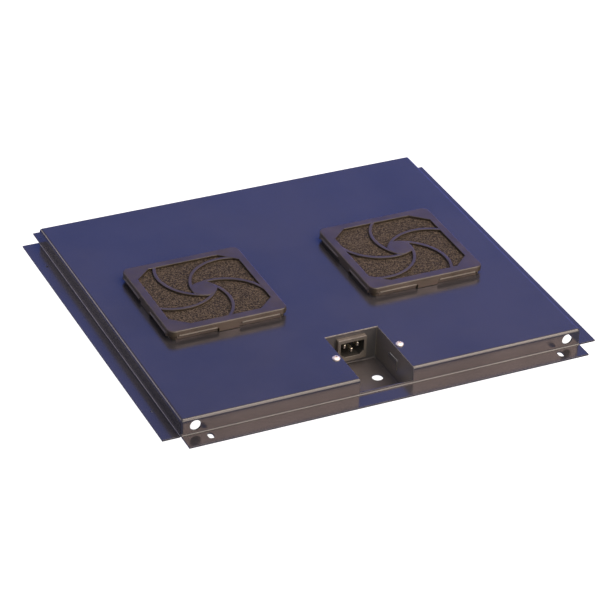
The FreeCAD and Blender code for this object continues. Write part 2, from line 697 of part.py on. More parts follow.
def guard_set(side):
    sx = -1 if side == "left" else 1
    # the left guard is fitted turned half round from the right one
    ang = 0.0 if side == "left" else 180.0

    # ---- base: rim, corner bosses for the long screws and a support grille
    body = new_body("filter_base_" + side)
    outer = grd_w - cov_wall * 2 - base_g * 2
    sk = sketch(body, "base_outline", "XY_Plane", 0)
    rect(sk, -(outer / 2), -(outer / 2), outer / 2, outer / 2)
    pad(body, "base_rim", sk, base_h)
    fillet(body, "base_corners", lambda e, bb: bb.ZLength > 4 and bb.XLength < 0.1 and bb.YLength < 0.1,
           grd_r - cov_wall)
    sk = sketch(body, "base_opening", "XY_Plane", base_h + 1)
    octagon(sk, open_x, open_y, web_x, web_y)
    cut(body, "base_opening_cut", sk, base_h + 2)
    # corner bosses up to the cover's webs
    sk = sketch(body, "boss_plan", "XY_Plane", base_h - 0.5)
    o = outer / 2 - 1.0
    for ax in (-1, 1):
        for ay in (-1, 1):
            polygon(sk, [((o - 1.6) * ax, o * ay), ((o - 17.4) * ax, o * ay),
                         (o * ax, (o - 17.4) * ay), (o * ax, (o - 1.6) * ay)])
    pad(body, "bosses", sk, foam_t + 0.5)
    # support grille: spokes and rings under the foam
    sk = sketch(body, "spoke_plan", "XY_Plane", 2.0)
    rect(sk, -1.2, -59.0, 1.2, 59.0)
    pad(body, "spokes_deep", sk, 2.4)
    sk = sketch(body, "spoke_plan_across", "XY_Plane", 2.0)
    rect(sk, -59.0, -1.2, 59.0, 1.2)
    pad(body, "spokes_across", sk, 2.4)
    for r in (18.0, 34.0, 50.0):
        sk = sketch(body, "ring_plan_%d" % r, "XY_Plane", 2.0)
        circle(sk, 0, 0, r)
        circle(sk, 0, 0, r - 2.0)
        pad(body, "ring_%d" % r, sk, 2.4)
    # counterbored screw holes
    sk = sketch(body, "boss_holes", "XY_Plane", base_h + foam_t + 1)
    for ax in (-1, 1):
        for ay in (-1, 1):
            circle(sk, fan_pitch / 2 * ax, fan_pitch / 2 * ay, fan_hole)
    cut(body, "boss_hole_cut", sk, 12)
    sk = sketch(body, "counterbores", "XY_Plane", base_h + foam_t + 1)
    for ax in (-1, 1):
        for ay in (-1, 1):
            circle(sk, fan_pitch / 2 * ax, fan_pitch / 2 * ay, 4.2)
    cut(body, "counterbore_cut", sk, foam_t + 1)
    place(body, fan_x * sx, fan_y, grd_z, V(0, 0, 1), ang)
    done(body)

    # ---- foam pad between base and cover
    body = new_body("filter_foam_" + side)
    sk = sketch(body, "foam_outline", "XY_Plane", 0)
    octagon(sk, grd_w - 8.0, grd_w - 8.0, 17.2, 17.2)
    pad(body, "foam_pad", sk, foam_t)
    place(body, fan_x * sx, fan_y, grd_z + base_h, V(0, 0, 1), ang)
    done(body)

    # ---- snap-on cover: skirt, webs, hub and five curved ribs
    body = new_body("filter_cover_" + side)
    hw = grd_w / 2
    inner = hw - cov_wall
    sk = sketch(body, "hub_plan", "XY_Plane", grd_h - cov_t)
    circle(sk, 0, 0, hub_r)
    pad(body, "hub", sk, cov_t)
    fillet(body, "hub_edge", lambda e, bb: near(bb.ZMin, grd_h) and near(bb.ZMax, grd_h), 0.5)
    # one rib: a band between two arcs about one centre, touching the hub's rim
    sk = sketch(body, "rib_plan", "XY_Plane", grd_h - cov_t)
    ro, ri = rib_r + rib_w / 2, rib_r - rib_w / 2
    a0, a1 = radians(58.0), radians(186.0)
    c = V(rib_c.value, 0, 0)
    go = sk.addGeometry(Part.ArcOfCircle(Part.Circle(c, V(0, 0, 1), ro.value), a0, a1), False)
    gi = sk.addGeometry(Part.ArcOfCircle(Part.Circle(c, V(0, 0, 1), ri.value), a0, a1), False)
    l1 = sk.addGeometry(Part.LineSegment(V(c.x + ro.value * cos(a0), ro.value * sin(a0), 0),
                                         V(c.x + ri.value * cos(a0), ri.value * sin(a0), 0)), False)
    l2 = sk.addGeometry(Part.LineSegment(V(c.x + ri.value * cos(a1), ri.value * sin(a1), 0),
                                         V(c.x + ro.value * cos(a1), ro.value * sin(a1), 0)), False)
    sk.addConstraint(Sketcher.Constraint("Coincident", go, 1, l1, 1))
    sk.addConstraint(Sketcher.Constraint("Coincident", l1, 2, gi, 1))
    sk.addConstraint(Sketcher.Constraint("Coincident", gi, 2, l2, 1))
    sk.addConstraint(Sketcher.Constraint("Coincident", l2, 2, go, 2))
    fix_point(sk, go, 3, rib_c, 0)
    sk.addConstraint(Sketcher.Constraint("Coincident", gi, 3, go, 3))
    con_value(sk, Sketcher.Constraint("Radius", go, ro.value), ro)
    con_value(sk, Sketcher.Constraint("Radius", gi, ri.value), ri)
    con_value(sk, Sketcher.Constraint("DistanceY", -1, 1, go, 1, ro.value * sin(a0)), ro * sin(a0))
    con_value(sk, Sketcher.Constraint("DistanceY", -1, 1, gi, 1, ri.value * sin(a0)), ri * sin(a0))
    con_value(sk, Sketcher.Constraint("DistanceY", -1, 1, go, 2, ro.value * sin(a1)), ro * sin(a1))
    con_value(sk, Sketcher.Constraint("DistanceY", -1, 1, gi, 2, ri.value * sin(a1)), ri * sin(a1))
    rib = pad(body, "rib", sk, cov_t - 0.2)
    polar(body, "ribs", [rib], 5)
    # what a rib would reach past the frame is taken off
    sk = sketch(body, "rib_trim", "XY_Plane", grd_h + 1)
    rect(sk, -90.0, -90.0, 90.0, 90.0)
    e = hw - 1.4
    rect(sk, -e, -e, e, e)
    cut(body, "rib_trim_cut", sk, grd_h)
    # top plate with its corner webs, and the skirt under it
    sk = sketch(body, "plate_plan", "XY_Plane", grd_h - cov_t)
    rounded(sk, [(-hw, -hw, grd_r), (hw, -hw, grd_r), (hw, hw, grd_r), (-hw, hw, grd_r)])
    octagon(sk, open_x, open_y, web_x, web_y)
    pad(body, "plate", sk, cov_t)
    sk = sketch(body, "skirt_plan", "XY_Plane", skirt_z)
    gr = grd_r - cov_wall
    rounded(sk, [(-hw, -hw, grd_r), (hw, -hw, grd_r), (hw, hw, grd_r), (-hw, hw, grd_r)])
    rounded(sk, [(-inner, -inner, gr), (inner, -inner, gr), (inner, inner, gr), (-inner, inner, gr)])
    pad(body, "skirt", sk, grd_h - skirt_z - cov_t)
    fillet(body, "cover_edge", lambda e, bb: near(bb.ZMin, grd_h) and near(bb.ZMax, grd_h)
           and max(abs(e.CenterOfMass.x), abs(e.CenterOfMass.y)) > 57.5, 1.1)
    # four middle tabs down to the panel
    sk = sketch(body, "tab_plan", "XY_Plane", 0.3)
    rect(sk, -11.0, -hw, 11.0, -inner)
    rect(sk, -11.0, inner, 11.0, hw)
    rect(sk, -hw, -11.0, -inner, 11.0)
    rect(sk, inner, -11.0, hw, 11.0)
    pad(body, "middle_tabs", sk, skirt_z - 0.3 + 0.2)
    # a narrow lip along the skirt's foot either side of each tab, and a peg by each corner
    lip = 1.1
    sk = sketch(body, "lip_plan", "XY_Plane", skirt_z)
    sk2 = sketch(body, "peg_plan", "XY_Plane", skirt_z - 1.2)
    for sgn in (-1, 1):
        for a0, a1, s2, hgt in ((12.8, 53.0, sk, 0), (54.0, 55.3, sk2, 1)):
            for m in (-1, 1):
                lo_u, hi_u = sorted((a0 * m, a1 * m))
                lo_v, hi_v = sorted(((hw - 0.6) * sgn, (hw + lip) * sgn), key=lambda t: t.value)
                rect(s2, lo_u, lo_v, hi_u, hi_v)
                rect(s2, lo_v, lo_u, hi_v, hi_u)
    pad(body, "skirt_lips", sk, 1.3)
    fillet(body, "lip_round", lambda e, bb: near(bb.ZMin, skirt_z + 1.3) and near(bb.ZMax, skirt_z + 1.3)
           and max(abs(e.CenterOfMass.x), abs(e.CenterOfMass.y)) > (hw + lip).value - 0.05, 0.9)
    pad(body, "skirt_pegs", sk2, 2.1)
    place(body, fan_x * sx, fan_y, grd_z, V(0, 0, 1), ang)
    done(body)


guard_set("left")
guard_set("right")

# ==================================================================== fans
def fan(side):
    sx = -1 if side == "left" else 1
    lead_ang = -30.0 if side == "left" else -150.0
    p2 = fan_pitch / 2

    def put(body):
        place(body, fan_x * sx, fan_y, fan_z)
        return done(body)

    # ---- die-cast housing: duct, corner flanges, motor plate on four struts
    body = new_body("fan_%s_housing" % side)
    h2 = fan_sq / 2
    sk = sketch(body, "duct_plan", "XY_Plane", 0)
    circle(sk, 0, 0, duct_r + duct_t)
    pad(body, "duct_block", sk, fan_h)
    sk = sketch(body, "lower_flange_plan", "XY_Plane", 0)
    octagon(sk, fan_sq, fan_sq, 4.0, 4.0)
    pad(body, "lower_flange", sk, flan_t)
    sk = sketch(body, "upper_flange_plan", "XY_Plane", fan_h - flan_t)
    octagon(sk, fan_sq, fan_sq, 4.0, 4.0)
    pad(body, "upper_flange", sk, flan_t)
    sk = sketch(body, "duct_bore_plan", "XY_Plane", fan_h + 1)
    circle(sk, 0, 0, duct_r)
    cut(body, "duct_bore", sk, fan_h + 2)
    fillet(body, "duct_mouth", lambda e, bb: near(bb.ZMin, fan_h) and near(bb.ZMax, fan_h)
           and near(bb.XMax, duct_r) and near(bb.YMax, duct_r), 1.6, "Chamfer")
    sk = sketch(body, "corner_hole_plan", "XY_Plane", fan_h + 1)
    for ax in (-1, 1):
        for ay in (-1, 1):
            circle(sk, p2 * ax, p2 * ay, fan_hole)
    cut(body, "corner_holes", sk, fan_h + 2)
    sk = sketch(body, "strut_deep_plan", "XY_Plane", 0)
    rect(sk, -3.5, -(duct_r + 0.5), 3.5, duct_r + 0.5)
    pad(body, "strut_deep", sk, 4.5)
    sk = sketch(body, "strut_across_plan", "XY_Plane", 0)
    rect(sk, -(duct_r + 0.5), -3.5, duct_r + 0.5, 3.5)
    pad(body, "strut_across", sk, 4.5)
    sk = sketch(body, "motor_plate_plan", "XY_Plane", 0)
    circle(sk, 0, 0, 30.0)
    pad(body, "motor_plate", sk, 3.0)
    sk = sketch(body, "plate_relief_plan", "XY_Plane", 6)
    circle(sk, 0, 0, 28.0)
    cut(body, "plate_relief", sk, 3.0)
    sk = sketch(body, "tube_plan", "XY_Plane", 2.0)
    circle(sk, 0, 0, tube_r)
    pad(body, "bearing_tube", sk, 29.0)
    sk = sketch(body, "tube_bore_plan", "XY_Plane", 32.0)
    circle(sk, 0, 0, brg_o)
    cut(body, "tube_bore", sk, 29.0)
    # hole in the duct wall where the leads come out
    sk = sketch(body, "lead_hole_plan", "YZ_Plane", 50.0)
    circle(sk, 0, 29.0, 3.0)
    f = cut(body, "lead_hole", sk, 12.0, back=True)
    sk.AttachmentOffset = PLC(V(0, 0, 0), ROT())
    sk.AttachmentSupport = None
    sk.MapMode = "Deactivated"
    dirv = V(cos(radians(lead_ang)), sin(radians(lead_ang)), 0)
    sk.Placement = PLC(dirv * 50.0, ROT(V(-dirv.y, dirv.x, 0), V(0, 0, 1), dirv, "ZXY"))
    doc.recompute()
    put(body)

    # ---- bearings: two rings pressed into the tube
    body = new_body("fan_%s_bearings" % side)
    body.AllowCompound = True
    sk = sketch(body, "lower_bearing_plan", "XY_Plane", 3.2)
    circle(sk, 0, 0, brg_o - 0.02)
    circle(sk, 0, 0, brg_i)
    pad(body, "lower_bearing", sk, brg_w)
    sk = sketch(body, "upper_bearing_plan", "XY_Plane", 25.0)
    circle(sk, 0, 0, brg_o - 0.02)
    circle(sk, 0, 0, brg_i)
    pad(body, "upper_bearing", sk, brg_w)
    put(body)

    # ---- stator core: four poles on a ring round the tube
    body = new_body("fan_%s_stator" % side)
    sk = sketch(body, "core_plan", "XY_Plane", 10.0)
    circle(sk, 0, 0, sta_o)
    circle(sk, 0, 0, tube_r + 0.05)
    pad(body, "core_stack", sk, 15.0)
    sk = sketch(body, "slot_plan", "XY_Plane", 26.0)
    # one winding space and its narrow mouth, repeated four times
    c45 = cos(pi / 4)

    def pt(r, a):
        return (r * cos(radians(a)), r * sin(radians(a)))
    polygon(sk, [pt(10.2, 12.0), pt(18.6, 12.5), pt(18.6, 41.0), pt(23.0, 42.5),
                 pt(23.0, 47.5), pt(18.6, 49.0), pt(18.6, 77.5), pt(10.2, 78.0)])
    slot = cut(body, "winding_space", sk, 17.0)
    polar(body, "winding_spaces", [slot], 4)
    put(body)

    # ---- windings: a coil round each pole neck
    body = new_body("fan_%s_windings" % side)
    body.AllowCompound = True
    sk = sketch(body, "coil_outer_plan", "YZ_Plane", 11.4)
    rect(sk, -6.6, 7.4, 6.6, 27.6)
    rect(sk, -4.3, 9.7, 4.3, 25.3)
    coil = pad(body, "coil", sk, 5.4)
    polar(body, "coils", [coil], 4)
    put(body)

    # ---- rotor ring: pressed inside the impeller hub
    body = new_body("fan_%s_rotor" % side)
    sk = sketch(body, "rotor_plan", "XY_Plane", 8.5)
    circle(sk, 0, 0, rot_o)
    circle(sk, 0, 0, rot_i)
    pad(body, "rotor_ring", sk, 19.0)
    put(body)

    # ---- shaft
    body = new_body("fan_%s_shaft" % side)
    sk = sketch(body, "shaft_plan", "XY_Plane", 3.3)
    circle(sk, 0, 0, shaft_r)
    pad(body, "shaft_rod", sk, 31.2)
    fillet(body, "shaft_ends", lambda e, bb: bb.ZLength < 0.05, 0.4, "Chamfer")
    put(body)

    # ---- impeller: hub cup and seven pitched blades
    body = new_body("fan_%s_impeller" % side)
    sk = sketch(body, "hub_block_plan", "XY_Plane", 5.0)
    circle(sk, 0, 0, imp_r)
    pad(body, "hub_block", sk, 30.5)
    fillet(body, "hub_crown", lambda e, bb: near(bb.ZMin, 35.5) and near(bb.ZMax, 35.5), 2.5)
    s1 = sketch(body, "blade_root", "YZ_Plane", 26.0)
    polygon(s1, [(-9.0, 8.0), (-7.6, 7.4), (1.4, 17.4), (8.4, 31.4), (7.0, 32.2), (-0.6, 18.8)])
    s2 = sketch(body, "blade_tip", "YZ_Plane", 58.0)
    polygon(s2, [(-19.0, 9.4), (-18.2, 8.0), (1.6, 15.2), (19.4, 28.8), (18.6, 30.2), (0.8, 16.8)])
    loft = body.newObject("PartDesign::AdditiveLoft", "blade")
    loft.Profile = s1
    loft.Sections = [s2]
    loft.Ruled = True
    doc.recompute()
    polar(body, "blades", [loft], 7)
    # inside of the cup, around the boss that holds the shaft
    sk = sketch(body, "cup_section", "XZ_Plane", 0)
    polygon(sk, [(rot_o + 0.05, 4.0), (rot_o + 0.05, 32.5), (6.0, 32.5), (6.0, 31.4), (0, 31.4), (0, 4.0)])
    turn(body, "cup_inside", sk, remove=True)
    sk = sketch(body, "tip_section", "XZ_Plane", 0)
    polygon(sk, [(tip_r, 0.0), (75.0, 0.0), (75.0, 38.0), (tip_r, 38.0)])
    turn(body, "tip_trim", sk, remove=True)
    sk = sketch(body, "shaft_bore_plan", "XY_Plane", 31.0)
    circle(sk, 0, 0, shaft_r + 0.01)
    cut(body, "shaft_bore", sk, 3.6, back=True)
    put(body)

    # ---- finger guard: wire rings on four bent arms with eyelets
    body = new_body("finger_guard_" + side)
    body.AllowCompound = True
    zr, za, ze = 1.0 - 6.0, 2.75 - 6.0, -1.0     # rings, arms, eyelets: middle lines
    sk = sketch(body, "ring_sections", "XZ_Plane", 0)
    for r in (11.0, 20.5, 30.0, 39.5, 49.0, 57.5):
        circle(sk, r, zr, wire_r)
    turn(body, "rings", sk)
    ex = fan_pitch.value / 2 * sqrt(2)
    sk = sketch(body, "arm_path", "XZ_Plane", 0)
    run = [V(9.7, za, 0), V(61.0, za, 0), V(67.4, ze, 0), V(ex - 3.2, ze, 0)]
    last = None
    start = run[0]
    for i in (1, 2):
        u = run[i] - run[i - 1]
        w = run[i + 1] - run[i]
        back_off = 0.45 * min(u.Length, w.Length, 4.0)
        u.normalize()
        w.normalize()
        half = acos(u.dot(w)) / 2
        rad = back_off / tan(half)
        m = w - u
        m.normalize()
        cen = run[i] + m * (rad / cos(half))
        p0, p1 = run[i] - u * back_off, run[i] + w * back_off
        g = sk.addGeometry(Part.LineSegment(start, p0), False)
        if last is not None:
            sk.addConstraint(Sketcher.Constraint("Coincident", last[0], last[1], g, 1))
        arc = Part.Arc(p0, cen - m * rad, p1)
        ga = sk.addGeometry(arc, False)
        first_end = 1 if sk.getPoint(ga, 1).distanceToPoint(p0) < 1e-4 else 2
        sk.addConstraint(Sketcher.Constraint("Coincident", g, 2, ga, first_end))
        last = (ga, 3 - first_end)
        start = p1
    g = sk.addGeometry(Part.LineSegment(start, run[-1]), False)
    sk.addConstraint(Sketcher.Constraint("Coincident", last[0], last[1], g, 1))
    prof = sketch(body, "arm_section", "YZ_Plane", 9.7)
    circle(prof, 0, za, wire_r)
    pipe = body.newObject("PartDesign::AdditivePipe", "arm")
    pipe.Profile = prof
    pipe.Spine = sk
    doc.recompute()
    polar(body, "arms", [pipe], 4)
    eye = body.newObject("PartDesign::AdditiveTorus", "eyelet")
    eye.Radius1 = 3.2
    bind(eye, "Radius2", wire_r)
    eye.Placement = PLC(V(ex, 0, ze), ROT())
    doc.recompute()
    polar(body, "eyelets", [eye], 4)
    place(body, fan_x * sx, fan_y, fan_z, V(0, 0, 1), 45.0)
    done(body)


fan("left")
fan("right")

# ---- long screws through base, panel, fan and finger guard, and their nuts
screw_long = new_body("screw_long_master")
pan_screw(screw_long, 0, 0, 0, 50.0, head_r=3.8, head_h=2.3)
spots = []
for sx in (-1, 1):
    for ax in (-1, 1):
        for ay in (-1, 1):
            spots.append((fan_x * sx + fan_pitch / 2 * ax, fan_y + fan_pitch / 2 * ay))
done(copies("fan_screws", screw_long, [(x, y, panel_z + base_h) for x, y in spots]))
done(copies("fan_nuts", nut, [(x, y, fan_z - wire_r * 2 - 3.2) for x, y in spots]))

# ===================================================================== wiring
def lead_path(points):
    """Straight runs joined by tangent arcs as large as the runs allow."""
    pts = [V(*p) for p in points]
    edges = []
    start = pts[0]
    radii = []
    for i in range(1, len(pts) - 1):
        u = pts[i] - pts[i - 1]
        w = pts[i + 1] - pts[i]
        lu, lw = u.Length, w.Length
        u.normalize()
        w.normalize()
        turn_angle = acos(max(-1.0, min(1.0, u.dot(w))))
        back_off = 0.45 * min(lu, lw)
        radii.append(back_off / tan(turn_angle / 2))
        a = pts[i] - u * back_off
        b = pts[i] + w * back_off
        mid_dir = (w - u)
        mid_dir.normalize()
        rad = radii[-1]
        centre = pts[i] + mid_dir * (rad / cos(turn_angle / 2))
        mid = centre - mid_dir * rad
        edges.append(Part.LineSegment(start, a).toShape())
        edges.append(Part.Arc(a, mid, b).toShape())
        start = b
    edges.append(Part.LineSegment(start, pts[-1]).toShape())
    return Part.Wire(edges), radii


def lead_solid(points, r):
    wire, radii = lead_path(points)
    t = points[0]
    d = V(*points[1]) - V(*points[0])
    prof = Part.Wire([Part.Circle(V(*t), d, r).toShape()])
    solid = wire.makePipeShell([prof], True, False)
    want = pi * r * r * wire.Length
    print("lead: length %.1f, volume %.2f of %.2f, radii %s"
          % (wire.Length, solid.Volume, want, ["%.1f" % x for x in radii]))
    if abs(solid.Volume - want) > 0.01 * want:
        raise RuntimeError("a lead's volume is off")
    return solid


def shape_piece(label, shapes):
    o = doc.addObject("Part::Feature", label)
    o.Label = label
    o.Shape = shapes[0] if len(shapes) == 1 else Part.makeCompound(shapes)
    return done(o)


rv = (rear_y).value                        # back of the inlet
zi = inl_z.value
zu, zd = zi + pin_up.value, zi - pin_dn.value
rec_end = rv + 19.5                        # back end of the push-on sleeves


def sleeve(label, x, z, holes):
    """Insulated push-on receptacle over a blade's tab."""
    body = new_body(label)
    sk = sketch(body, "sleeve_section", "XZ_Plane", -(rear_y + 0.4))
    rect(sk, q(x) - 2.3, q(z) - 4.2, q(x) + 2.3, q(z) + 4.2)
    pad(body, "sleeve", sk, 19.1, back=True)
    fillet(body, "sleeve_edges", lambda e, bb: bb.YLength > 15, 1.2)
    sk = sketch(body, "tab_slot_section", "XZ_Plane", -rear_y)
    rect(sk, q(x) - 0.45, q(z) - 3.2, q(x) + 0.45, q(z) + 3.2)
    cut(body, "tab_slot", sk, 9.0)
    sk = sketch(body, "lead_entry_section", "XZ_Plane", -(rear_y + 20.0))
    for hz in holes:
        circle(sk, q(x), q(z) + hz, lead_r + 0.05)
    cut(body, "lead_entry", sk, 4.5, back=True)
    return done(body)


sleeve("line_receptacle", -pin_x, inl_z + pin_up, (-1.3, 1.3))
sleeve("neutral_receptacle", pin_x, inl_z + pin_up, (-1.3, 1.3))
sleeve("earth_receptacle", q(0), inl_z - pin_dn, (0.0,))

fx, fy, px = fan_x.value, fan_y.value, pin_x.value
fz = fan_z.value + 29.0                    # height of the lead hole
lr = lead_r.value
ye = rec_end - 3.9                         # where a lead ends inside its sleeve


def fan_route(sx, to_x, dz_start, z_mid, dz_end):
    """From the hole in the fan's duct, under the clip, to a sleeve."""
    ca, sa = cos(radians(30)), -sin(radians(30))
    a = (sx * (fx - 58.0 * ca), fy + 58.0 * sa, fz + dz_start)
    b = (sx * (fx - 71.0 * ca), fy + 71.0 * sa, fz + dz_start)
    c = (sx * 34.0, -38.0, 39.5 + dz_start)
    d = (sx * 22.0, -39.0, 39.5 + dz_start)
    e = (0.5 * (sx * 14.0 + to_x), -40.0 + (5.0 if sx * to_x < 0 else 0.0), z_mid)
    f = (to_x, -50.0, zu + dz_end)
    g = (to_x, ye, zu + dz_end)
    return [a, b, c, d, e, f, g]


shape_piece("fan_left_leads", [
    lead_solid(fan_route(-1, -px, 1.05, 38.0, 1.3), lr),
    lead_solid(fan_route(-1, px, -1.05, 36.0, 1.3), lr)])
shape_piece("fan_right_leads", [
    lead_solid(fan_route(1, px, 1.05, 33.6, -1.3), lr),
    lead_solid(fan_route(1, -px, -1.05, 31.0, -1.3), lr)])

# grommets in the lead holes
gro = []
for sx, ang in ((-1, -30.0), (1, -150.0)):
    d = V(cos(radians(ang)), sin(radians(ang)), 0)
    c = V(sx * fx, fy, fz)
    s = Part.makeCylinder(2.9, 4.6, c + d * 56.4, d)
    s = s.fuse(Part.makeCylinder(4.2, 1.2, c + d * 60.1, d))
    for dz in (1.05, -1.05):
        s = s.cut(Part.makeCylinder(lr + 0.05, 12.0, c + d * 54.0 + V(0, 0, dz), d))
    gro.append(s.removeSplitter())
shape_piece("lead_grommets", gro)

# clips stuck under the panel
clips = []
for sx in (-1, 1):
    a = V(sx * 34.0, -38.0, 39.5)
    b = V(sx * 22.0, -39.0, 39.5)
    u = b - a
    u.normalize()
    n = V(-u.y, u.x, 0)
    mid = (a + b) * 0.5
    box = Part.makeBox(5.0, 12.0, 8.0, V(-2.5, -6.0, -3.6))
    box = box.fuse(Part.makeBox(12.0, 12.0, 1.0, V(-6.0, -6.0, 3.45)))
    slot = Part.makeBox(8.0, 2.4, 4.6, V(-4.0, -1.2, -2.3))
    box = box.cut(slot)
    box.Placement = PLC(mid + V(0, 0, panel_b.value - 39.5 - 4.45), ROT(V(1, 0, 0), u))
    clips.append(box.removeSplitter())
shape_piece("lead_clips", clips)

# earth lead to a ring terminal under the right-hand bracket nut
sxr, syr = brk_sx.value, (front_y + brk_sy).value
zring = ear_b.value
ring = Part.makeCylinder(3.6, 0.8, V(sxr, syr, zring - 0.8))
tongue = Part.makeBox(3.6, 9.0, 0.8, V(sxr - 1.8, syr + 2.6, zring - 0.8))
barrel = Part.makeCylinder(1.9, 7.0, V(sxr, syr + 8.0, zring - 2.1), V(0, 1, 0))
term = ring.fuse([tongue, barrel])
term = term.cut(Part.makeCylinder(2.1, 3.0, V(sxr, syr, zring - 2)))
term = term.cut(Part.makeCylinder(lr + 0.05, 5.0, V(sxr, syr + 10.6, zring - 2.1), V(0, 1, 0)))
shape_piece("earth_terminal", [term.removeSplitter()])
ez = zring - 2.1
shape_piece("earth_lead", [lead_solid([
    (0.0, ye, zd), (0.0, -48.0, zd), (11.0, -36.0, zd - 1.5), (26.0, -42.0, zd + 1.0),
    (36.0, -60.0, 31.0), (38.5, -80.0, 35.5), (38.0, -98.0, 38.5), (34.6, -114.0, ez + 0.3),
    (sxr, -122.0, ez), (sxr, syr + 10.7, ez)], lr)])

# ================================================================== check
doc.recompute()
bad = []
for o in doc.Objects:
    if "Invalid" in o.State or "Error" in o.State:
        bad.append((o.Name, o.State))
names = set()
for o in pieces:
    s = o.Shape
    if s.isNull() or not s.isValid() or len(s.Solids) < 1:
        bad.append((o.Label, "shape"))
    names.add(o.Label)
if len(names) != len(pieces):
    bad.append(("labels", "not unique"))
if bad:
    raise RuntimeError("failed: %s" % bad)

os.makedirs("parts", exist_ok=True)
total = Part.makeCompound([o.Shape for o in pieces])
print("box", total.BoundBox)
for o in pieces:
    print("%-24s solids %d volume %.1f" % (o.Label, len(o.Shape.Solids), o.Shape.Volume))
    o.Shape.exportStep("parts/%s.step" % o.Label)
print("pieces", len(pieces))
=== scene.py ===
import json
import math

import bmesh
import bpy
from mathutils import Matrix, Vector, noise


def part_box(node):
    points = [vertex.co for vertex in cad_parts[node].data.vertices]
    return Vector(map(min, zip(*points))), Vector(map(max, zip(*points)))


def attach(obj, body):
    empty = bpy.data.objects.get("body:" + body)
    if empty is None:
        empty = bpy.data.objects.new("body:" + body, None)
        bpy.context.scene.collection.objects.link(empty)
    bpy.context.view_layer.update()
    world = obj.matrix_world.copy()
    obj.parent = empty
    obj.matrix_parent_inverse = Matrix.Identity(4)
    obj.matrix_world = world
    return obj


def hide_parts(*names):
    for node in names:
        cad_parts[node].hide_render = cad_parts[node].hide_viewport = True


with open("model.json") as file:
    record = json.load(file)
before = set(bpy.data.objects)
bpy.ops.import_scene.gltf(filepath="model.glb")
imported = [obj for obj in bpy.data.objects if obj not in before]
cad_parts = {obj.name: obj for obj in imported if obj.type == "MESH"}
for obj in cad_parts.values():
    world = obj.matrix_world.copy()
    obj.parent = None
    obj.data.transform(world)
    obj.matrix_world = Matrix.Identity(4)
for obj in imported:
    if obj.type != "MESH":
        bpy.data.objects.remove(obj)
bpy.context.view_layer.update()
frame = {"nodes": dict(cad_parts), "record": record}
NODES = frame["nodes"]
scene = bpy.context.scene
MM = 0.001
SIDES = (("left", -1), ("right", 1))
FAN_X, FAN_Y = 107.0, 2.0


